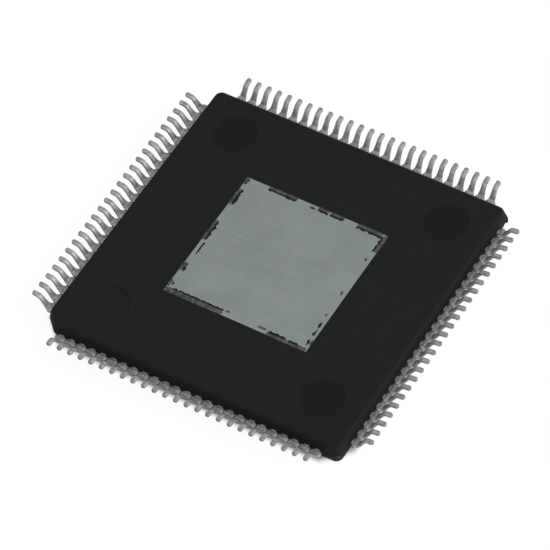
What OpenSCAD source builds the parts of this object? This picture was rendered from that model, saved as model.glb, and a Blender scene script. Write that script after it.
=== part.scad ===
// Thin quad flat package with an exposed thermal pad and gull-wing leads.
// It lies on its marking face: z = 0 is that face, and the exposed pad looks up along +Z.
// The lead frame is one sheet: the leads lie at half height, and the paddle is set up to the pad face.

/* [Leads] */
// Leads in each of the four rows
side_leads = 25; // [22:1:31]
// Distance between the centres of neighbouring leads
pitch = 0.5; // [0.4:0.05:0.8]
// Width of a lead
lead_w = 0.21; // [0.17:0.01:0.26]
// Thickness of the lead frame's sheet
frame_t = 0.127; // [0.1:0.001:0.16]
// How far a lead reaches past the body's wall
lead_reach = 1; // [0.95:0.05:1.3]
// Height of the toes' seating plane over the pad face
standoff = 0.12; // [0.05:0.01:0.16]
// Straight run from the wall to the first bend
shoulder = 0.2; // [0.16:0.01:0.22]
// Inside radius of both bends
bend_r = 0.17; // [0.12:0.005:0.18]
// Lean of the riser, in degrees from upright
riser_lean = 31; // [25:1:38]
// Slope of the foot towards the toe, in degrees
foot_slope = 7; // [0:0.5:8]
// Length over which the toe rounds off
toe_l = 0.09; // [0.06:0.01:0.12]
// Width of the toe's end
toe_w = 0.1; // [0.06:0.01:0.14]
// Distance from the wall to the stubs that the cut dam bar leaves on a lead's sides
dam_from = 0.04; // [0.02:0.01:0.08]
// Run over which a stub widens
dam_ease = 0.06; // [0.04:0.01:0.08]
// Length of a stub at its full width
dam_stub_l = 0.11; // [0.08:0.01:0.14]
// Run over which a stub narrows to the neck
dam_taper = 0.09; // [0.06:0.01:0.12]
// Width of the neck behind a stub
neck_w = 0.28; // [0.24:0.01:0.32]
// Run over which the neck narrows to the lead's width
neck_l = 0.21; // [0.14:0.01:0.24]
// Gap that the cut leaves between the stubs of neighbouring leads
dam_gap = 0.03; // [0.03:0.005:0.08]

/* [Inner fingers] */
// Straight root of a finger behind the wall
root_l = 0.25; // [0.2:0.01:0.4]
// Gap between neighbouring finger tips
tip_gap = 0.15; // [0.12:0.01:0.18]
// Distance from the paddle's flange to the finger tips, seen from above
tip_clear = 0.65; // [0.4:0.05:0.9]
// Gap between the outermost fingers and a tie bar
tie_clear = 0.15; // [0.1:0.01:0.25]

/* [Body] */
// Distance from the last lead of a row to the body's edge
row_margin = 1; // [0.9:0.05:1.5]
// Thickness of the moulded body
body_t = 1; // [0.95:0.05:1.2]
// Draft of the side walls, in degrees from upright
draft = 13; // [5:1:15]
// Radius of the upright corners
corner_r = 0.32; // [0.2:0.02:0.5]
// Cut at the corner beside the first lead
first_cut = 0.6; // [0.45:0.05:0.7]
// Radius of the edges round both faces
edge_r = 0.15; // [0.05:0.01:0.2]
// Diameter of the ejector-pin marks
ejector_d = 2; // [1:0.1:2.4]
// Depth of those marks
ejector_depth = 0.03; // [0.01:0.01:0.05]
// Distance from the body's edge to the marks' centres
ejector_inset = 1.95; // [1.6:0.05:2.2]
// Diameter of the dimple that marks the first lead
dimple_d = 1; // [0.6:0.1:1.4]
// Depth of the dimple
dimple_depth = 0.05; // [0.03:0.01:0.08]
// Distance from the body's edge to the dimple's centre
dimple_inset = 1.4; // [1.2:0.1:2]
// Width of the gate stub at its root
gate_w = 0.3; // [0.24:0.02:0.5]
// Width of the gate stub at its broken end
gate_end_w = 0.2; // [0.1:0.02:0.24]
// How far the gate stub stands out from the corner
gate_reach = 0.05; // [0.02:0.01:0.3]
// Thickness of the gate stub
gate_t = 0.2; // [0.15:0.01:0.25]

/* [Die paddle] */
// Side of the exposed pad
pad_size = 6.7; // [5:0.1:7.5]
// Width of the locking flange round the pad
flange_w = 0.2; // [0.1:0.05:0.3]
// Thickness of the locking flange
flange_t = 0.065; // [0.04:0.005:0.08]
// Width of a tie bar
tie_w = 0.2; // [0.16:0.02:0.4]
// Flat run of a tie bar at the paddle, before it steps to the lead plane
tie_run = 0.1; // [0.05:0.01:0.3]
// Slope of the step, in degrees
step_angle = 40; // [30:1:55]

/* [Die and wires] */
// Side of the silicon die
die_size = 4.5; // [3:0.1:5]
// Thickness of the die
die_t = 0.28; // [0.2:0.01:0.3]
// Thickness of the die-attach layer
attach_t = 0.025; // [0.015:0.005:0.04]
// How far the die-attach layer spreads past the die
attach_spread = 0.1; // [0.05:0.01:0.2]
// Thickness of a bond wire, drawn with a square section
wire_d = 0.025; // [0.02:0.001:0.033]
// Width of the ball bond's foot on the die
ball_d = 0.065; // [0.05:0.005:0.08]
// Height of the ball bond
ball_h = 0.018; // [0.012:0.001:0.025]
// Length of the stitch bond on a finger
stitch_l = 0.08; // [0.06:0.005:0.1]
// Height of a wire's loop over the die
loop_h = 0.27; // [0.2:0.01:0.3]
// Distance from the die's edge to its row of bond pads
bond_inset = 0.1; // [0.08:0.01:0.15]
// Distance from the die's corner to the last bond pad of a row
bond_margin = 0.3; // [0.2:0.05:0.5]
// Distance from a finger's tip to its stitch bond
stitch_inset = 0.15; // [0.1:0.01:0.25]

/* [Hidden] */
// Leads are numbered clockwise seen from the pad side, and each row is split into groups
side_count = 4;
groups_a_side = 5;
bend_steps = 6;
toe_steps = 4;
edge_steps = 5;
wall_count = 24;
overshoot = 0.05;
$fn = 48;

// Body, with the lead plane at half height
body_half = row_margin + pitch * (side_leads - 1) / 2;
frame_low = body_t / 2 - frame_t / 2;
frame_high = body_t / 2 + frame_t / 2;
draft_in = frame_low * tan(draft);
first_corner = 2;
// Distance from the centre to a corner's middle: rounded at three corners, cut at the first lead's corner
function corner_reach(half, corner) = let (
    cut = corner == first_corner ? first_cut : corner_r * (2 - sqrt(2))
) (2 * half - cut) / sqrt(2);
// Distance from the centre to the wall that faces the given angle
function wall_reach(half, angle) = let (
    turned = angle % 90,
    lean = min(turned, 90 - turned),
    inner = half - corner_r,
    beside_corner = sqrt(2) * (corner_reach(half, floor(angle / 90)) - corner_r) - inner
) inner * cos(lean) + beside_corner * sin(lean) + corner_r;

// Paddle, whose outer face is flush with the pad side of the body
paddle_low = body_t - frame_t;
flange_high = paddle_low + flange_t;
pad_half = pad_size / 2;
flange_half = pad_half + flange_w;

// Die, hung under the paddle, with its bond pads facing the marking side
attach_low = paddle_low - attach_t;
die_low = attach_low - die_t;
bond_half = die_size / 2 - bond_inset;
bond_pitch = (die_size / 2 - bond_margin) / ((side_leads - 1) / 2);

// Fingers fan in from the wall to the tips, clear of the tie bars at the corners
tip_x = flange_half + tip_clear;
root_x = body_half - root_l;
tip_pitch = (tip_x - (tie_w / 2 + tie_clear) * sqrt(2)) / (side_leads / 2);
tip_w = tip_pitch - tip_gap;

// Formed lead: the riser and the foot take the lengths that bring the toe to its place
bend_mid = bend_r + frame_t / 2;
rise = 90 - riser_lean;
bends_out = bend_mid * (2 * sin(rise) - sin(foot_slope));
bends_up = bend_mid * (1 + cos(foot_slope) - 2 * cos(rise));
go_out = lead_reach - shoulder - bends_out - frame_t / 2 * sin(foot_slope);
go_up = body_t / 2 + standoff - bends_up - frame_t / 2 * cos(foot_slope);
turn = sin(rise - foot_slope);
riser_l = (go_up * cos(foot_slope) - go_out * sin(foot_slope)) / turn;
foot_l = (go_out * sin(rise) - go_up * cos(rise)) / turn;

// One side of a formed lead seen from above, as points [distance from the wall, half width]
stub_half = (pitch - dam_gap) / 2;
stub_x = dam_from + dam_ease;
stub_end = stub_x + dam_stub_l;
neck_x = stub_end + dam_taper;
lead_side = concat(
    [[-root_l, lead_w / 2], [dam_from, lead_w / 2], [stub_x, stub_half], [stub_end, stub_half],
        [neck_x, neck_w / 2], [neck_x + neck_l, lead_w / 2]],
    [for (i = [0 : toe_steps]) let (a = 90 * i / toe_steps)
        [lead_reach - toe_l * (1 - sin(a)), toe_w / 2 + (lead_w - toe_w) / 2 * cos(a)]]
);

// Leads before group i of a row
function leads_before(i) = round(i * side_leads / groups_a_side);
// Names of the groups that repeat
function group_name(base, first, last) = str(base, "_pins_", first, "_", last);
lead_names = [for (s = [0 : side_count - 1], i = [0 : groups_a_side - 1])
    group_name("leads", s * side_leads + leads_before(i) + 1, s * side_leads + leads_before(i + 1))];
wire_names = [for (s = [0 : side_count - 1])
    group_name("bond_wires", s * side_leads + 1, (s + 1) * side_leads)];

// Angle of a side about Z: side 0 lies at -X, and the sides follow clockwise seen from the pad side
function side_angle(s) = 180 - 90 * s;
// Place of lead k along its row, and of its finger's tip and its bond pad on the die
function along(k, step) = ((side_leads - 1) / 2 - k) * step;

// Midline of a formed lead in its own upright plane, as points [x, z] with a heading each
function arc_steps(x, z, from, to) = let (hand = sign(to - from))
    [for (i = [0 : bend_steps]) let (h = from + (to - from) * i / bend_steps)
        [x + hand * bend_mid * (sin(h) - sin(from)), z + hand * bend_mid * (cos(from) - cos(h)), h]];
function ahead(p, l) = [p[0] + l * cos(p[2]), p[1] + l * sin(p[2]), p[2]];
function lead_midline() = let (
    start = [root_x, body_t / 2, 0],
    bend_1 = ahead(start, root_l + shoulder),
    up = arc_steps(bend_1[0], bend_1[1], 0, rise),
    bend_2 = ahead(up[bend_steps], riser_l),
    over = arc_steps(bend_2[0], bend_2[1], rise, foot_slope),
    toe = ahead(over[bend_steps], foot_l)
) concat([start], up, over, [toe]);
function beside(p, d) = [p[0] - d * sin(p[2]), p[1] + d * cos(p[2])];

// Strip of sheet that follows the midline, drawn in the upright plane of the lead
module bent_sheet() {
    mid = lead_midline();
    last = len(mid) - 1;
    rotate([90, 0, 0])
        linear_extrude(pitch, center = true)
            polygon(concat(
                [for (p = mid) beside(p, frame_t / 2)],
                [for (i = [last : -1 : 0]) beside(mid[i], -frame_t / 2)]
            ));
}

// Outline of a formed lead from above, with its dam-bar stubs and rounded toe
module lead_outline() {
    last = len(lead_side) - 1;
    translate([body_half, 0, 0])
        linear_extrude(2 * body_t)
            polygon(concat(
                [for (p = lead_side) [p[0], -p[1]]],
                [for (i = [last : -1 : 0]) lead_side[i]]
            ));
}

// Flat finger of lead k, from its tip to the given end behind or at the wall
module finger(k, end_x) {
    tip_y = along(k, tip_pitch);
    root_y = along(k, pitch);
    translate([0, 0, frame_low])
        linear_extrude(frame_t)
            polygon([
                [tip_x, tip_y - tip_w / 2], [root_x, root_y - lead_w / 2], [end_x, root_y - lead_w / 2],
                [end_x, root_y + lead_w / 2], [root_x, root_y + lead_w / 2], [tip_x, tip_y + tip_w / 2]
            ]);
}

// One whole lead: its finger, and the bent sheet cut to the outline
module lead(k) {
    finger(k, root_x + root_l / 2);
    translate([0, along(k, pitch), 0])
        intersection() {
            bent_sheet();
            lead_outline();
        }
}

// Group g of neighbouring leads on one side
module lead_group(g) {
    side = floor(g / groups_a_side);
    i = g % groups_a_side;
    color("#9a9d9b")
        rotate(side_angle(side))
            for (k = [leads_before(i) : leads_before(i + 1) - 1])
                lead(k);
}

// Bond wire of lead k: ball foot on the die, upright neck, run, and stitch foot on the finger
module bond_wire(k) {
    share = stitch_inset / (root_x - tip_x);
    from = [bond_half, along(k, bond_pitch)];
    to = [tip_x + stitch_inset, along(k, tip_pitch) * (1 - share) + along(k, pitch) * share];
    reach = norm(to - from);
    loop_low = die_low - loop_h;
    translate([from[0], from[1], 0])
        rotate([90, 0, atan2(to[1] - from[1], to[0] - from[0])])
            linear_extrude(wire_d, center = true)
                polygon([
                    [-ball_d / 2, die_low], [-ball_d / 2, die_low - ball_h], [-wire_d / 2, die_low - ball_h],
                    [-wire_d / 2, loop_low], [reach + stitch_l / 2, frame_low - wire_d],
                    [reach + stitch_l / 2, frame_low], [reach - stitch_l / 2, frame_low],
                    [wire_d / 2, loop_low + wire_d], [wire_d / 2, die_low - ball_h],
                    [ball_d / 2, die_low - ball_h], [ball_d / 2, die_low]
                ]);
}

// Wires of one side
module side_wires(s) {
    color("#d9b45a")
        rotate(side_angle(s))
            for (k = [0 : side_leads - 1])
                bond_wire(k);
}

// Square plate between two heights
module plate(half, low, high) {
    translate([-half, -half, low])
        cube([2 * half, 2 * half, high - low]);
}

// Tie bar along the diagonal, from the flange down the step to the lead plane and out to end_r
module tie_bar(end_r) {
    run_r = flange_half * sqrt(2) + tie_run;
    step_r = run_r + (flange_high - frame_high) / tan(step_angle);
    mitre = frame_t * tan(step_angle / 2);
    rotate([90, 0, 0])
        linear_extrude(tie_w, center = true)
            polygon([
                [pad_half, flange_high], [run_r, flange_high], [step_r, frame_high], [end_r, frame_high],
                [end_r, frame_low], [step_r - mitre, frame_low], [run_r - mitre, paddle_low],
                [pad_half, paddle_low]
            ]);
}

// Exposed plate, locking flange and four tie bars
module paddle_form(tie_over) {
    plate(pad_half, paddle_low, body_t);
    plate(flange_half, paddle_low, flange_high);
    for (corner = [0 : 3])
        rotate(45 + 90 * corner)
            tie_bar(corner_reach(body_half, corner) + tie_over);
}

module die_paddle() {
    color("#82898a")
        paddle_form(0);
}

module die_attach() {
    color("#6d6a63")
        plate(die_size / 2 + attach_spread, attach_low, paddle_low);
}

module silicon_die() {
    color("#4a4f63")
        plate(die_size / 2, die_low, attach_low);
}

// Outline of a slab's side above the parting line: drafted wall and rounded edge
function upper_side(part_x, face_x) = let (
    lean = atan((part_x - face_x) / frame_low),
    mid_x = face_x - edge_r * (1 - sin(lean)) / cos(lean)
) concat(
    [[part_x, frame_high]],
    [for (i = [0 : edge_steps]) let (a = lean + (90 - lean) * i / edge_steps)
        [mid_x + edge_r * cos(a), body_t - edge_r + edge_r * sin(a)]]
);
// The whole side that faces the given angle, from the marking face up, which mirrors at half height
function whole_side(angle) = let (
    upper = upper_side(wall_reach(body_half, angle), wall_reach(body_half - draft_in, angle)),
    last = len(upper) - 1
) concat([for (i = [last : -1 : 0]) [upper[i][0], body_t - upper[i][1]]], upper);

// Slab between the two opposite walls that face along the given angle
module drafted_slab(angle) {
    front = whole_side(angle);
    back = whole_side(angle + 180);
    last = len(back) - 1;
    rotate([0, 0, angle])
        rotate([90, 0, 0])
            linear_extrude(4 * body_half, center = true)
                polygon(concat(front, [for (i = [last : -1 : 0]) [-back[i][0], back[i][1]]]));
}

// Outside of the body: drafted walls, rounded corners and the cut corner
module body_form() {
    intersection_for (i = [0 : wall_count / 2 - 1])
        drafted_slab(360 / wall_count * i);
}

// Stub of the moulding gate, on the marking side of the parting line at the far corner
module gate_stub() {
    corner = corner_reach(body_half, 0);
    root = corner - corner_r;
    end = corner + gate_reach;
    rotate(45)
        translate([0, 0, frame_low - gate_t])
            linear_extrude(gate_t)
                polygon([
                    [root, -gate_w / 2], [corner, -gate_w / 2], [end, -gate_end_w / 2],
                    [end, gate_end_w / 2], [corner, gate_w / 2], [root, gate_w / 2]
                ]);
}

// Hollow that ejector pins and the first-lead dimple leave in the two faces
module mould_marks() {
    ejector_at = body_half - ejector_inset;
    for (x = [-1, 1])
        for (y = [-1, 1])
            translate([x * ejector_at, y * ejector_at, body_t - ejector_depth])
                cylinder(h = ejector_depth + overshoot, d = ejector_d);
    dimple_at = body_half - dimple_inset;
    dimple_r = dimple_d * dimple_d / (8 * dimple_depth) + dimple_depth / 2;
    translate([-dimple_at, -dimple_at, dimple_depth - dimple_r])
        sphere(dimple_r);
}

// The compound fills what the other pieces leave
module moulded_body() {
    color("#212323")
        difference() {
            union() {
                body_form();
                gate_stub();
            }
            mould_marks();
            paddle_form(overshoot);
            die_attach();
            silicon_die();
            for (s = [0 : side_count - 1]) {
                rotate(side_angle(s))
                    for (k = [0 : side_leads - 1])
                        finger(k, body_half + overshoot);
                side_wires(s);
            }
        }
}

moulded_body();
die_paddle();
die_attach();
silicon_die();
for (s = [0 : side_count - 1])
    side_wires(s);
for (g = [0 : side_count * groups_a_side - 1])
    lead_group(g);
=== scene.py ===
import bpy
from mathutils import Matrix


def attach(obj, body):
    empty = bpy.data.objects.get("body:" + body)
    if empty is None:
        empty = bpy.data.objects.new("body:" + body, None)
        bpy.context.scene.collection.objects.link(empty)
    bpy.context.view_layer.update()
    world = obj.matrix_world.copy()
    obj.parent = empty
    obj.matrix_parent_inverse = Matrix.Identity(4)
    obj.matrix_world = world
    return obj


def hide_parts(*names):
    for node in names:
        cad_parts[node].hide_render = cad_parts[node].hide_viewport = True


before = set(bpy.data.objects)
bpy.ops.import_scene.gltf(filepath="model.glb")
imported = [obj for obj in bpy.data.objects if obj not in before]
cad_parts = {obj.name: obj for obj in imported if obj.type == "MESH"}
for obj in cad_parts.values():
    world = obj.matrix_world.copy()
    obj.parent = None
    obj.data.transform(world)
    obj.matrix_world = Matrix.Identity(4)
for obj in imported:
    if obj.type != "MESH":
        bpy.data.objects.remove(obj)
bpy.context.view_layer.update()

from math import cos, pi, radians, sin

import bmesh
import bpy
from mathutils import Matrix, Vector, noise
from numpy import interp

mm = 0.001
inPlan = (1, 1, 0)  # takes a place's x and y and leaves its height out
scene = bpy.context.scene
scene.view_settings.view_transform = "Standard"
print("frame loaded:", len(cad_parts), "nodes")


# sRGB hex to the linear colour that the sockets take
def linear(code):
    parts = [int(code[i:i + 2], 16) / 255 for i in (1, 3, 5)]
    return [c / 12.92 if c <= 0.04045 else ((c + 0.055) / 1.055) ** 2.4 for c in parts] + [1.0]


# one node with its settings; an input is a value or the socket it is linked from
def addNode(tree, kind, inputs=None, **settings):
    node = tree.nodes.new("ShaderNode" + kind)
    for name, value in settings.items():
        setattr(node, name, value)
    for key, value in (inputs or {}).items():
        if isinstance(value, bpy.types.NodeSocket):
            tree.links.new(value, node.inputs[key])
        else:
            node.inputs[key].default_value = value
    return node


# a material with its node tree, its shader and the object's own coordinates
def newMaterial(name):
    material = bpy.data.materials.new(name)
    material.use_nodes = True
    tree = material.node_tree
    place = addNode(tree, "TexCoord").outputs["Object"]
    return material, tree, tree.nodes["Principled BSDF"], place


# texture scale for a pattern of this size in mm
def perMm(size):
    return 1 / (size * mm)


# both ends, in metres, of a fade given in mm
def fadeEnds(start, length):
    return start * mm, (start + length) * mm


# camera: found from the toes of all hundred leads
cameraSet = {
    "azimuth": 34.7021,
    "elevation": 51.8223,
    "roll": -5.25,
    "distance": 159.6105,
    "target": (0.0453, -0.239, 0.5),
    "lens": 255.593,
    "nearest": 1,
}


def makeCamera(look):
    data = bpy.data.cameras.new("photoCamera")
    data.lens = look["lens"]
    data.clip_start = look["nearest"] * mm
    camera = bpy.data.objects.new("photoCamera", data)
    scene.collection.objects.link(camera)
    camera.matrix_world = (
        Matrix.Translation(Vector(look["target"]) * mm)
        @ Matrix.Rotation(radians(look["azimuth"]), 4, "Z")
        @ Matrix.Rotation(radians(90 - look["elevation"]), 4, "X")
        @ Matrix.Rotation(radians(look["roll"]), 4, "Z")
        @ Matrix.Translation((0, 0, look["distance"] * mm))
    )
    scene.camera = camera


makeCamera(cameraSet)

# light: a soft box at the right, one in front, a weak one overhead, and even white air
lightSet = {
    "key": {"place": (280, 60, 130), "size": 300, "power": 1.3},
    "front": {"place": (90, -230, 190), "size": 240, "power": 0.45},
    "overhead": {"place": (0, 10, 300), "size": 240, "power": 0.18},
    "white": "#ffffff",
    "air": 0.33,
    "backdrop": 1.0,
}


# 1 for the rays that show the world, 0 for those that only light the part
def seenRay(tree):
    rays = addNode(tree, "LightPath").outputs
    both = addNode(tree, "Math", {0: rays["Is Camera Ray"], 1: rays["Is Glossy Ray"]})
    seen = addNode(tree, "Math", {0: both.outputs[0], 1: rays["Is Transmission Ray"]}, use_clamp=True)
    return seen.outputs[0]


def makeLights(look):
    for name in ("key", "front", "overhead"):
        data = bpy.data.lights.new(name + "SoftBox", "AREA")
        data.size = look[name]["size"] * mm
        data.energy = look[name]["power"]
        lamp = bpy.data.objects.new(name + "SoftBox", data)
        scene.collection.objects.link(lamp)
        place = Vector(look[name]["place"]) * mm
        lamp.location = place
        lamp.rotation_euler = place.to_track_quat("Z", "Y").to_euler()
    world = bpy.data.worlds.new("studioAir")
    scene.world = world
    world.use_nodes = True
    tree = world.node_tree
    white = linear(look["white"])
    air = tree.nodes["Background"]
    air.inputs["Color"].default_value = white
    air.inputs["Strength"].default_value = look["air"]
    backdrop = addNode(tree, "Background", {"Color": white, "Strength": look["backdrop"]})
    mixed = addNode(tree, "MixShader", {0: seenRay(tree), 1: air.outputs[0], 2: backdrop.outputs[0]})
    tree.links.new(mixed.outputs[0], tree.nodes["World Output"].inputs["Surface"])


# floor of pale seamless paper, which glows for the camera alone so that it shows white
floorSet = {
    "half": 1500,
    "paper": "#f4f4f4",
    # painted shadow: the paper's darker grey under the part
    "paintedShadowUnderPart": "#b8b8b8",
    "glowTone": "#ffffff",
    "glow": 1.02,
    "glowShare": 0.9,
    "shadowFrom": 7.05,
    "shadowTo": 7.3,
    "cornerShare": 0.54,
}


def makeFloor(look):
    material, tree, shader, place = newMaterial("paleSeamlessPaper")
    tree.nodes.remove(shader)
    glow = addNode(tree, "Emission", {"Color": linear(look["glowTone"]), "Strength": look["glow"]})
    # the glow stops short under the part, so its contact shadow stays dark, and there the paper is painted
    # a darker grey: a painted contact shadow
    folded = addNode(tree, "VectorMath", {0: place}, operation="ABSOLUTE")
    sides = addNode(tree, "SeparateXYZ", {0: folded.outputs[0]}).outputs
    square = addNode(tree, "Math", {0: sides[0], 1: sides[1]}, operation="MAXIMUM")
    both = addNode(tree, "Math", {0: sides[0], 1: sides[1]})
    corner = addNode(tree, "Math", {0: both.outputs[0], 1: look["cornerShare"]}, operation="MULTIPLY")
    far = addNode(tree, "Math", {0: square.outputs[0], 1: corner.outputs[0]}, operation="MAXIMUM")
    clear = addNode(
        tree, "MapRange", {0: far.outputs[0], 1: look["shadowFrom"] * mm, 2: look["shadowTo"] * mm}
    )
    # painted shadow: the paper turns to the darker grey under the part
    tone = addNode(
        tree, "Mix", {0: clear.outputs[0], 6: linear(look["paintedShadowUnderPart"]), 7: linear(look["paper"])},
        data_type="RGBA",
    )
    paper = addNode(tree, "BsdfDiffuse", {"Color": tone.outputs[2]})
    bright = addNode(tree, "Math", {0: clear.outputs[0], 1: look["glowShare"]}, operation="MULTIPLY")
    seen = addNode(tree, "LightPath").outputs["Is Camera Ray"]
    share = addNode(tree, "Math", {0: seen, 1: bright.outputs[0]}, operation="MULTIPLY")
    mixed = addNode(tree, "MixShader", {0: share.outputs[0], 1: paper.outputs[0], 2: glow.outputs[0]})
    tree.links.new(mixed.outputs[0], tree.nodes["Material Output"].inputs["Surface"])
    bm = bmesh.new()
    bmesh.ops.create_grid(bm, x_segments=1, y_segments=1, size=look["half"] * mm)
    mesh = bpy.data.meshes.new("floor")
    bm.to_mesh(mesh)
    bm.free()
    floor = bpy.data.objects.new("floor", mesh)
    scene.collection.objects.link(floor)
    floor.data.materials.append(material)


makeLights(lightSet)
makeFloor(floorSet)
print("camera, lights and floor made")

# epoxy moulding compound, cast in an eroded steel mould: matte near-black with a fine even grain,
# pale filler specks and smooth round ejector marks
compoundLook = {
    "dark": "#0e1010",
    "pale": "#131515",
    "cloud": 2.5,
    "cloudDetail": 4.0,
    "rough": (0.7, 0.8),
    "specular": 0.1,
    "grain": 0.07,  # the real grain is about 0.02, too fine to show
    "grainDetail": 3.0,
    "grainRelief": 0.5,
    "grainDepth": 0.008,
    "speck": "#1b1d1d",
    "speckSize": 0.16,
    "speckEdge": (0.2, 0.1),
    "speckShare": 0.7,
    "mark": "#070909",
    "markAt": 5.05,
    "markRadius": 1.0,
    "markFade": 0.25,
    "markRough": 0.65,
    "markRelief": 0.12,
    # painted light: the paler colour of the step round each mark
    "step": "#1a1c1c",
    "stepWidth": 0.012,
    "faintest": 0.4,  # share of the mark at the cut corner
    "faintEdge": (-6, -5),  # x + y, from that share to the full one
    "topFrom": 0.9,
    "topFade": 0.05,
}


def mouldingCompound(look):
    material, tree, shader, place = newMaterial("epoxyMouldingCompound")
    grain = addNode(
        tree, "TexNoise", {"Vector": place, "Scale": perMm(look["grain"]), "Detail": look["grainDetail"]}
    )
    cloud = addNode(
        tree, "TexNoise", {"Vector": place, "Scale": perMm(look["cloud"]), "Detail": look["cloudDetail"]}
    )
    specks = addNode(tree, "TexVoronoi", {"Vector": place, "Scale": perMm(look["speckSize"])})
    low, high = look["speckEdge"]
    speck = addNode(
        tree, "MapRange", {0: specks.outputs["Distance"], 1: low, 2: high, 4: look["speckShare"]}
    )
    height = addNode(tree, "SeparateXYZ", {0: place}).outputs["Z"]
    low, high = fadeEnds(look["topFrom"], look["topFade"])
    onTop = addNode(tree, "MapRange", {0: height, 1: low, 2: high}).outputs[0]
    # the four ejector marks, by the distance from the nearest mark's centre
    folded = addNode(tree, "VectorMath", {0: place}, operation="ABSOLUTE")
    centre = (look["markAt"] * mm, look["markAt"] * mm, 0)
    fromMark = addNode(tree, "VectorMath", {0: folded.outputs[0], 1: centre}, operation="SUBTRACT")
    flat = addNode(tree, "VectorMath", {0: fromMark.outputs[0], 1: inPlan}, operation="MULTIPLY")
    off = addNode(tree, "VectorMath", {0: flat.outputs[0]}, operation="LENGTH").outputs["Value"]
    rim, full = fadeEnds(look["markRadius"], -look["markFade"])
    inMark = addNode(tree, "MapRange", {0: off, 1: rim, 2: full}, interpolation_type="SMOOTHSTEP")
    across = addNode(tree, "VectorMath", {0: place, 1: inPlan}, operation="DOT_PRODUCT")
    low, high = look["faintEdge"]
    faint = addNode(
        tree, "MapRange", {0: across.outputs["Value"], 1: low * mm, 2: high * mm, 3: look["faintest"]}
    )
    seen = addNode(tree, "Math", {0: inMark.outputs[0], 1: faint.outputs[0]}, operation="MULTIPLY")
    mark = addNode(tree, "Math", {0: seen.outputs[0], 1: onTop}, operation="MULTIPLY").outputs[0]
    base = addNode(
        tree, "Mix", {0: cloud.outputs[0], 6: linear(look["dark"]), 7: linear(look["pale"])},
        data_type="RGBA",
    )
    specked = addNode(
        tree, "Mix", {0: speck.outputs[0], 6: base.outputs[2], 7: linear(look["speck"])}, data_type="RGBA"
    )
    marked = addNode(
        tree, "Mix", {0: mark, 6: specked.outputs[2], 7: linear(look["mark"])}, data_type="RGBA"
    )
    # painted light: the step round a mark is painted paler, against the shade that would show it as a dark
    # ring
    past = addNode(tree, "Math", {0: off, 1: rim}, operation="SUBTRACT")
    beside = addNode(tree, "Math", {0: past.outputs[0]}, operation="ABSOLUTE")
    wide, narrow = look["stepWidth"] * mm, look["stepWidth"] / 2 * mm
    nearStep = addNode(tree, "MapRange", {0: beside.outputs[0], 1: wide, 2: narrow})
    paintedStepLight = addNode(tree, "Math", {0: nearStep.outputs[0], 1: onTop}, operation="MULTIPLY")
    colour = addNode(
        tree, "Mix", {0: paintedStepLight.outputs[0], 6: marked.outputs[2], 7: linear(look["step"])}, data_type="RGBA"
    )
    low, high = look["rough"]
    rough = addNode(tree, "MapRange", {0: cloud.outputs[0], 3: low, 4: high})
    worn = addNode(tree, "Mix", {0: mark, 2: rough.outputs[0], 3: look["markRough"]})
    relief = addNode(tree, "MapRange", {0: mark, 3: look["grainRelief"], 4: look["markRelief"]})
    depth = look["grainDepth"] * mm
    bump = addNode(
        tree, "Bump", {"Strength": relief.outputs[0], "Distance": depth, "Height": grain.outputs[0]}
    )
    tree.links.new(colour.outputs[2], shader.inputs["Base Color"])
    tree.links.new(worn.outputs[0], shader.inputs["Roughness"])
    tree.links.new(bump.outputs[0], shader.inputs["Normal"])
    shader.inputs["Specular IOR Level"].default_value = look["specular"]
    return material


# matte plated copper sheet, rolled then plated: dull grey with faint rolling lines and blotches
padLook = {
    "plate": "#7a8180",
    "blotch": "#747b7a",
    "blotchSize": 1.4,
    "blotchDetail": 5.0,
    "blotchEdge": (0.35, 0.65),
    "bright": "#828887",
    "lineGap": 0.08,  # the real rolling lines are about 0.01 apart, too fine to show
    "lineRun": 2.5,
    "lineDetail": 3.0,
    "lineEdge": (0.45, 0.75),
    "lineShare": 0.5,
    "stained": "#2b2b29",
    "stainShare": 0.9,
    "tieFrom": 9.3,
    "tieFade": 0.05,
    "roughEdge": (0.3, 0.7),
    "rough": (0.5, 0.6),
    "relief": 0.15,
    "reliefDepth": 0.002,
    "metal": 1.0,
}


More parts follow.
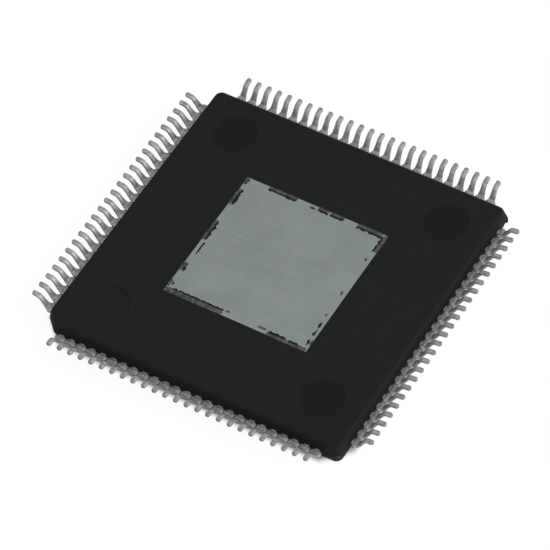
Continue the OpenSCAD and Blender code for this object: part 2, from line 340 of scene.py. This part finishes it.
def platedPad(look):
    material, tree, shader, place = newMaterial("matteTinOnCopperPad")
    scales = [perMm(look[way]) for way in ("lineRun", "lineGap", "lineRun")]
    alongRoll = addNode(tree, "Mapping", {"Vector": place, "Scale": scales}).outputs[0]
    rolled = addNode(
        tree, "TexNoise", {"Vector": alongRoll, "Scale": 1.0, "Detail": look["lineDetail"]}
    ).outputs[0]
    blotch = addNode(
        tree, "TexNoise",
        {"Vector": place, "Scale": perMm(look["blotchSize"]), "Detail": look["blotchDetail"]},
    )
    low, high = look["blotchEdge"]
    patchy = addNode(tree, "MapRange", {0: blotch.outputs[0], 1: low, 2: high})
    plate = addNode(
        tree, "Mix", {0: patchy.outputs[0], 6: linear(look["blotch"]), 7: linear(look["plate"])},
        data_type="RGBA",
    )
    low, high = look["lineEdge"]
    lines = addNode(tree, "MapRange", {0: rolled, 1: low, 2: high, 4: look["lineShare"]})
    lined = addNode(
        tree, "Mix", {0: lines.outputs[0], 6: plate.outputs[2], 7: linear(look["bright"])}, data_type="RGBA"
    )
    # the cut ends of the tie bars are stained by the compound
    flat = addNode(tree, "VectorMath", {0: place, 1: inPlan}, operation="MULTIPLY")
    out = addNode(tree, "VectorMath", {0: flat.outputs[0]}, operation="LENGTH")
    low, high = fadeEnds(look["tieFrom"], look["tieFade"])
    tie = addNode(tree, "MapRange", {0: out.outputs["Value"], 1: low, 2: high, 4: look["stainShare"]})
    colour = addNode(
        tree, "Mix", {0: tie.outputs[0], 6: lined.outputs[2], 7: linear(look["stained"])}, data_type="RGBA"
    )
    (low, high), (smooth, coarse) = look["roughEdge"], look["rough"]
    rough = addNode(tree, "MapRange", {0: rolled, 1: low, 2: high, 3: smooth, 4: coarse})
    depth = look["reliefDepth"] * mm
    bump = addNode(tree, "Bump", {"Strength": look["relief"], "Distance": depth, "Height": rolled})
    tree.links.new(colour.outputs[2], shader.inputs["Base Color"])
    tree.links.new(rough.outputs[0], shader.inputs["Roughness"])
    tree.links.new(bump.outputs[0], shader.inputs["Normal"])
    shader.inputs["Metallic"].default_value = look["metal"]
    return material


# matte tin on copper alloy leads, stamped and formed: dull even grey, faintly blotched
leadLook = {
    "tin": "#8b8e8d",
    "dull": "#6e7170",
    "blotchSize": 0.16,
    "blotchDetail": 3.0,
    "blotchEdge": (0.36, 0.6),
    "markGap": 0.05,
    "markDetail": 2.0,
    "cut": "#6b6862",
    "cutFrom": 7.9,
    "cutFade": 0.09,
    "cutShare": 0.8,
    "roughEdge": (0.3, 0.7),
    "rough": (0.44, 0.54),
    "relief": 0.08,
    "reliefDepth": 0.002,
    "metal": 0.5,  # matched to the rows' even grey
    "specular": 0.3,
}


def platedLead(look):
    material, tree, shader, place = newMaterial("matteTinOnCopperLead")
    marks = addNode(
        tree, "TexNoise", {"Vector": place, "Scale": perMm(look["markGap"]), "Detail": look["markDetail"]}
    ).outputs[0]
    blotch = addNode(
        tree, "TexNoise",
        {"Vector": place, "Scale": perMm(look["blotchSize"]), "Detail": look["blotchDetail"]},
    )
    low, high = look["blotchEdge"]
    patchy = addNode(tree, "MapRange", {0: blotch.outputs[0], 1: low, 2: high})
    plating = addNode(
        tree, "Mix", {0: patchy.outputs[0], 6: linear(look["dull"]), 7: linear(look["tin"])},
        data_type="RGBA",
    )
    # the toes are sheared after plating, so their ends show duller bare alloy
    folded = addNode(tree, "VectorMath", {0: place}, operation="ABSOLUTE")
    sides = addNode(tree, "SeparateXYZ", {0: folded.outputs[0]}).outputs
    far = addNode(tree, "Math", {0: sides[0], 1: sides[1]}, operation="MAXIMUM")
    low, high = fadeEnds(look["cutFrom"], look["cutFade"])
    cut = addNode(tree, "MapRange", {0: far.outputs[0], 1: low, 2: high, 4: look["cutShare"]})
    colour = addNode(
        tree, "Mix", {0: cut.outputs[0], 6: plating.outputs[2], 7: linear(look["cut"])}, data_type="RGBA"
    )
    (low, high), (smooth, coarse) = look["roughEdge"], look["rough"]
    rough = addNode(tree, "MapRange", {0: marks, 1: low, 2: high, 3: smooth, 4: coarse})
    depth = look["reliefDepth"] * mm
    bump = addNode(tree, "Bump", {"Strength": look["relief"], "Distance": depth, "Height": marks})
    tree.links.new(colour.outputs[2], shader.inputs["Base Color"])
    tree.links.new(rough.outputs[0], shader.inputs["Roughness"])
    tree.links.new(bump.outputs[0], shader.inputs["Normal"])
    shader.inputs["Metallic"].default_value = look["metal"]
    shader.inputs["Specular IOR Level"].default_value = look["specular"]
    return material


# resin flash, the compound's clear resin in a skin a few thousandths of a mm thick: mottled grey where
# it lies on the plate, with faint reddish and olive patches
filmLook = {
    "thick": "#232322",
    "thin": "#4d4e4c",
    "mottle": 0.16,
    "mottleDetail": 3.0,
    "mottleEdge": (0.4, 0.62),
    "red": "#4a3f3f",
    "redEdge": (0.52, 0.6),
    "olive": "#3f3e34",
    "oliveEdge": (0.46, 0.38),
    "patchSize": 0.5,
    "patchDetail": 2.0,
    "tint": 0.5,
    "roughEdge": (0.3, 0.7),
    "rough": (0.5, 0.7),
    "relief": 0.3,
    "reliefDepth": 0.004,
    "specular": 0.2,
}


def resinFilm(look):
    material, tree, shader, place = newMaterial("epoxyResinFilm")
    mottle = addNode(
        tree, "TexNoise", {"Vector": place, "Scale": perMm(look["mottle"]), "Detail": look["mottleDetail"]}
    ).outputs[0]
    patch = addNode(
        tree, "TexNoise",
        {"Vector": place, "Scale": perMm(look["patchSize"]), "Detail": look["patchDetail"]},
    ).outputs[0]
    low, high = look["mottleEdge"]
    thinness = addNode(tree, "MapRange", {0: mottle, 1: low, 2: high})
    colour = addNode(
        tree, "Mix", {0: thinness.outputs[0], 6: linear(look["thick"]), 7: linear(look["thin"])},
        data_type="RGBA",
    )
    for hue in ("red", "olive"):
        low, high = look[hue + "Edge"]
        share = addNode(tree, "MapRange", {0: patch, 1: low, 2: high, 4: look["tint"]})
        colour = addNode(
            tree, "Mix", {0: share.outputs[0], 6: colour.outputs[2], 7: linear(look[hue])}, data_type="RGBA"
        )
    (low, high), (smooth, coarse) = look["roughEdge"], look["rough"]
    rough = addNode(tree, "MapRange", {0: mottle, 1: low, 2: high, 3: smooth, 4: coarse})
    depth = look["reliefDepth"] * mm
    bump = addNode(tree, "Bump", {"Strength": look["relief"], "Distance": depth, "Height": mottle})
    tree.links.new(colour.outputs[2], shader.inputs["Base Color"])
    tree.links.new(rough.outputs[0], shader.inputs["Roughness"])
    tree.links.new(bump.outputs[0], shader.inputs["Normal"])
    shader.inputs["Specular IOR Level"].default_value = look["specular"]
    return material


# the parts sealed inside, each with two tones over a pattern of its own size:
# silver-filled paste (flaky and dull), a sawn and polished silicon chip (dark and glossy), drawn gold wire
innerLooks = {
    "silverFilledPaste": {
        "tones": ("#8d8f8e", "#b9bcbb"), "size": 0.05, "rough": (0.45, 0.7), "metal": 0.6, "relief": 0.4,
    },
    "polishedSilicon": {
        "tones": ("#3b4048", "#4b515c"), "size": 0.4, "rough": (0.12, 0.22), "metal": 0.7, "relief": 0.02,
    },
    "drawnGoldWire": {
        "tones": ("#c9a24a", "#dcbb66"), "size": 0.02, "rough": (0.2, 0.32), "metal": 1.0, "relief": 0.05,
    },
}
innerPattern = {"detail": 4.0, "edge": (0.35, 0.65), "reliefDepth": 0.003}


def innerMaterial(name, look, pattern):
    material, tree, shader, place = newMaterial(name)
    grain = addNode(
        tree, "TexNoise", {"Vector": place, "Scale": perMm(look["size"]), "Detail": pattern["detail"]}
    ).outputs[0]
    low, high = pattern["edge"]
    spread = addNode(tree, "MapRange", {0: grain, 1: low, 2: high})
    dark, pale = (linear(tone) for tone in look["tones"])
    colour = addNode(tree, "Mix", {0: spread.outputs[0], 6: dark, 7: pale}, data_type="RGBA")
    smooth, coarse = look["rough"]
    rough = addNode(tree, "MapRange", {0: grain, 3: smooth, 4: coarse})
    depth = pattern["reliefDepth"] * mm
    bump = addNode(tree, "Bump", {"Strength": look["relief"], "Distance": depth, "Height": grain})
    tree.links.new(colour.outputs[2], shader.inputs["Base Color"])
    tree.links.new(rough.outputs[0], shader.inputs["Roughness"])
    tree.links.new(bump.outputs[0], shader.inputs["Normal"])
    shader.inputs["Metallic"].default_value = look["metal"]
    return material


compound = mouldingCompound(compoundLook)
padPlate = platedPad(padLook)
leadTin = platedLead(leadLook)
film = resinFilm(filmLook)
inner = {name: innerMaterial(name, look, innerPattern) for name, look in innerLooks.items()}
coats = {"moulded_body": compound, "die_paddle": padPlate}
coats["die_attach"] = inner["silverFilledPaste"]
coats["silicon_die"] = inner["polishedSilicon"]
for pins in ("1_25", "26_50", "51_75", "76_100"):
    coats["bond_wires_pins_" + pins] = inner["drawnGoldWire"]
for name, coat in coats.items():
    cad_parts[name].data.materials.clear()
    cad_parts[name].data.materials.append(coat)
print("materials made")

# leads, by side and group of five; sizes are the part's own
leadForm = {
    "perSide": 25,
    "perGroup": 5,
    "pitch": 0.5,
    "width": 0.21,
    "sheet": 0.127,
    "wall": 7.0,
    "midHeight": 0.5,
    "reach": 1.0,
    "toeTop": 1.12,
    "shoulder": 0.2,
    "bendRadius": 0.17,
    "bendSteps": 6,
    "riserLean": 31,
    "riserShares": (0.6, 0.4),  # with a seam where the neck ends
    "footSlope": 7,
    "toeLength": 0.09,
    "toeWidth": 0.1,
    "toeSteps": 4,
    # the cut dam bar's stubs and the neck behind them, as distance from the wall and width
    "stubs": ((0.04, 0.23), (0.1, 0.475), (0.21, 0.475), (0.3, 0.33), (0.4, 0.25), (0.51, 0.21)),
    "rootLength": 0.25,
    "tipX": 4.2,
    "tipLength": 0.5,
    "tipPitch": 0.3077,
    "tipWidth": 0.1577,
    "edgeRound": 0.03,
    "edgeSteps": 2,
    "toeRound": 0.02,
    "toeRim": ((0.7, 0.3), (0.3, 0.7)),  # shares of the rounding in each step, outwards and inwards
}


def pushFace(bm, face, out, up):
    grown = bmesh.ops.extrude_face_region(bm, geom=[face, *face.edges, *face.verts])["geom"]
    verts = [g for g in grown if isinstance(g, bmesh.types.BMVert)]
    bmesh.ops.translate(bm, verts=verts, vec=(out * mm, 0, up * mm))
    return [g for g in grown if isinstance(g, bmesh.types.BMFace)][0]


def bendFace(bm, face, radius, heading, turn, steps):
    hand = 1 if turn > 0 else -1
    side = Vector((-sin(heading), 0, cos(heading))) * hand * radius * mm
    bent = bmesh.ops.spin(
        bm, geom=[face, *face.edges, *face.verts], cent=face.calc_center_median() + side,
        axis=(0, -hand, 0), angle=abs(turn), steps=steps,
    )["geom_last"]
    return [g for g in bent if isinstance(g, bmesh.types.BMFace)][0]


# one lead on the X axis, swept from its section and then drawn in to its widths
def leadMesh(form):
    mid = form["bendRadius"] + form["sheet"] / 2
    rise = radians(90 - form["riserLean"])
    slope = radians(form["footSlope"])
    goOut = (form["reach"] - form["shoulder"] - mid * (2 * sin(rise) - sin(slope))
             - form["sheet"] / 2 * sin(slope))
    goUp = (form["toeTop"] - form["midHeight"] - mid * (1 + cos(slope) - 2 * cos(rise))
            - form["sheet"] / 2 * cos(slope))
    riser = (goUp * cos(slope) - goOut * sin(slope)) / sin(rise - slope)
    foot = (goOut * sin(rise) - goUp * cos(rise)) / sin(rise - slope)
    bm = bmesh.new()
    # a square of 1 mm, scaled to the section
    bmesh.ops.create_grid(
        bm, x_segments=1, y_segments=1, size=0.5 * mm,
        matrix=Matrix.Translation((form["tipX"] * mm, 0, form["midHeight"] * mm))
        @ Matrix.Diagonal((1, form["width"], form["sheet"], 1))
        @ Matrix.Rotation(pi / 2, 4, "Y"),
    )
    bmesh.ops.bevel(
        bm, geom=bm.verts[:], offset=form["edgeRound"] * mm, offset_type="OFFSET",
        segments=form["edgeSteps"], profile=0.5, affect="VERTICES", material=-1,
    )
    face = bm.faces[:][0]
    stubStart, stubFull = form["stubs"][0][0], form["stubs"][1][0]
    here = form["tipX"] - form["wall"]
    for x in (-form["rootLength"], stubStart, stubFull, form["shoulder"]):
        face = pushFace(bm, face, x - here, 0)
        here = x
    face = bendFace(bm, face, mid, 0, rise, form["bendSteps"])
    for share in form["riserShares"]:
        face = pushFace(bm, face, riser * share * cos(rise), riser * share * sin(rise))
    face = bendFace(bm, face, mid, rise, slope - rise, form["bendSteps"])
    flatFoot = foot - form["toeLength"]
    face = pushFace(bm, face, flatFoot * cos(slope), flatFoot * sin(slope))
    angles = [pi / 2 * i / form["toeSteps"] for i in range(form["toeSteps"] + 1)]
    toeArc = form["toeLength"] - form["toeRound"]
    arcs = [toeArc * sin(angle) for angle in angles]
    for before, after in zip(arcs, arcs[1:]):
        face = pushFace(bm, face, (after - before) * cos(slope), (after - before) * sin(slope))
    for out, inset in form["toeRim"]:
        face = pushFace(bm, face, form["toeRound"] * out * cos(slope), form["toeRound"] * out * sin(slope))
        lost = 2 * form["toeRound"] * inset
        bmesh.ops.scale(
            bm, verts=face.verts[:], vec=(1, 1 - lost / form["width"], 1 - lost / form["sheet"]),
            space=Matrix.Translation(-face.calc_center_median()),
        )
    # widths along the lead
    toeStart = form["reach"] - form["toeLength"]
    narrowing = form["width"] - form["toeWidth"]
    marks = [(form["tipX"] - form["wall"], form["width"]), *form["stubs"]]
    for x, angle in zip(arcs, angles):
        marks.append((toeStart + x, form["width"] - narrowing * (1 - cos(angle))))
    places, widths = zip(*marks)
    for v in bm.verts:
        width = interp(v.co.x / mm - form["wall"], places, widths)
        v.co.y += (1 if v.co.y > 0 else -1) * (width - form["width"]) / 2 * mm
    bmesh.ops.recalc_face_normals(bm, faces=bm.faces[:])
    mesh = bpy.data.meshes.new("oneLead")
    bm.to_mesh(mesh)
    bm.free()
    return mesh


def makeLeads(form, material):
    one = leadMesh(form)
    middle = (form["perSide"] - 1) / 2
    tipEnd = (form["tipX"] + form["tipLength"]) * mm
    for side in range(4):
        turn = Matrix.Rotation(radians(180 - 90 * side), 3, "Z")
        for first in range(0, form["perSide"], form["perGroup"]):
            bm = bmesh.new()
            for k in range(first, first + form["perGroup"]):
                before = len(bm.verts)
                bm.from_mesh(one)
                bm.verts.ensure_lookup_table()
                lead = bm.verts[before:]
                finger = [v for v in lead if v.co.x < tipEnd]
                shoulder = [v for v in lead if v.co.x >= tipEnd]
                bmesh.ops.scale(bm, verts=finger, vec=(1, form["tipWidth"] / form["width"], 1))
                bmesh.ops.translate(bm, verts=finger, vec=(0, (middle - k) * form["tipPitch"] * mm, 0))
                bmesh.ops.translate(bm, verts=shoulder, vec=(0, (middle - k) * form["pitch"] * mm, 0))
            bmesh.ops.rotate(bm, verts=bm.verts[:], matrix=turn)
            start = side * form["perSide"] + first + 1
            name = f"leads_pins_{start}_{start + form['perGroup'] - 1}"
            mesh = bpy.data.meshes.new("formed_" + name)
            bm.to_mesh(mesh)
            bm.free()
            mesh.shade_smooth()
            mesh.materials.append(material)
            piece = bpy.data.objects.new("formed_" + name, mesh)
            scene.collection.objects.link(piece)
            piece.modifiers.new("flatFaces", "WEIGHTED_NORMAL")
            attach(piece, "root")
            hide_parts(name)
    bpy.data.meshes.remove(one)


makeLeads(leadForm, leadTin)
print("leads made")

# resin flash on the pad's rim; each run is its side (0 at +X, then anticlockwise), where it starts and
# ends along that side, its distance in from the pad's edge and its width
flashForm = {
    "padHalf": 3.35,
    "low": 0.997,
    "lineTop": 1.006,
    "filmTop": 1.003,
    "step": 0.04,
    "fewestSteps": 4,
    "rows": 2,
    "ragged": 0.05,
    "raggedSize": 0.11,
    "raggedLeast": 0.4,  # share of the raggedness on the outer edge
    "noiseMoves": (7.3, 2, 40),  # moves in the noise by side, across a run and by inset
    "endTaper": 0.12,
    "endShare": 0.25,
    "lines": (
        (0, 2.36, 3.24, 0.13, 0.09), (0, -2.10, -1.76, 0.11, 0.11), (0, -2.52, -2.16, 0.11, 0.08),
        (0, -3.04, -2.72, 0.11, 0.1),
        (1, 0.90, 2.27, 0.12, 0.09), (1, -0.60, -0.08, 0.11, 0.1), (1, -1.32, -0.65, 0.11, 0.1),
        (1, -3.19, -1.93, 0.14, 0.09),
        (2, -2.69, -1.74, 0.12, 0.1), (2, -0.785, 0.35, 0.1, 0.1), (2, 0.44, 1.18, 0.16, 0.08),
        (2, 1.68, 2.16, 0.14, 0.09), (2, 2.80, 2.98, 0.14, 0.1),
        (3, -3.06, -0.63, 0.2, 0.08), (3, 1.50, 2.35, 0.13, 0.1), (3, 2.45, 2.95, 0.1, 0.1),
    ),
    "films": (
        (0, 2.36, 3.36, -0.02, 0.18), (0, 1.76, 1.95, 0.15, 0.12), (0, -0.22, 0.02, 0.15, 0.12),
        (0, -1.43, -1.27, 0.15, 0.09), (0, -3.0, -2.72, -0.02, 0.12),
        (1, 0.90, 2.27, -0.02, 0.17), (1, 0.00, 0.28, 0.1, 0.1), (1, -0.60, -0.08, -0.02, 0.16),
        (1, -1.32, -0.65, -0.02, 0.16), (1, -3.14, -1.93, -0.02, 0.19),
        (2, -3.36, -2.95, -0.02, 0.2), (2, -2.69, -1.74, -0.02, 0.17), (2, -0.785, 0.35, -0.02, 0.15),
        (2, 1.68, 2.16, -0.02, 0.19), (2, 2.7, 3.1, -0.02, 0.14),
        (3, -3.36, -0.63, -0.02, 0.25), (3, -0.56, -0.38, 0.2, 0.13), (3, 0.98, 1.4, 0.15, 0.12),
        (3, 1.45, 3.33, -0.02, 0.17),
    ),
}


# a grid of side 1, laid along its run with ragged edges and narrowed ends
def flashRun(bm, form, run):
    side, start, end, inset, width = run
    bySide, byRow, byInset = form["noiseMoves"]
    count = max(form["fewestSteps"], round((end - start) / form["step"]))
    strip = bmesh.ops.create_grid(bm, x_segments=count, y_segments=form["rows"], size=0.5)["verts"]
    turn = Matrix.Rotation(side * pi / 2, 3, "Z")
    for v in strip:
        along = start + (v.co.x + 0.5) * (end - start)
        taper = min(1, form["endShare"] + min(along - start, end - along) / form["endTaper"])
        spot = Vector((along / form["raggedSize"], bySide * side + v.co.y * byRow, inset * byInset))
        wave = form["ragged"] * noise.noise(spot) * (0.5 + v.co.y + form["raggedLeast"])
        into = inset + width * (0.5 + v.co.y * taper) + wave
        v.co = turn @ Vector(((form["padHalf"] - into) * mm, along * mm, form["low"] * mm))


def makeFlash(name, form, runs, top, material):
    bm = bmesh.new()
    for run in runs:
        flashRun(bm, form, run)
    grown = bmesh.ops.extrude_face_region(bm, geom=bm.faces[:])["geom"]
    upper = [g for g in grown if isinstance(g, bmesh.types.BMVert)]
    bmesh.ops.translate(bm, verts=upper, vec=(0, 0, (top - form["low"]) * mm))
    bmesh.ops.recalc_face_normals(bm, faces=bm.faces[:])
    mesh = bpy.data.meshes.new(name)
    bm.to_mesh(mesh)
    bm.free()
    mesh.materials.append(material)
    piece = bpy.data.objects.new(name, mesh)
    scene.collection.objects.link(piece)
    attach(piece, "root")


makeFlash("resin_flash_film", flashForm, flashForm["films"], flashForm["filmTop"], film)
makeFlash("resin_flash_edge", flashForm, flashForm["lines"], flashForm["lineTop"], compound)
print("resin flash made")
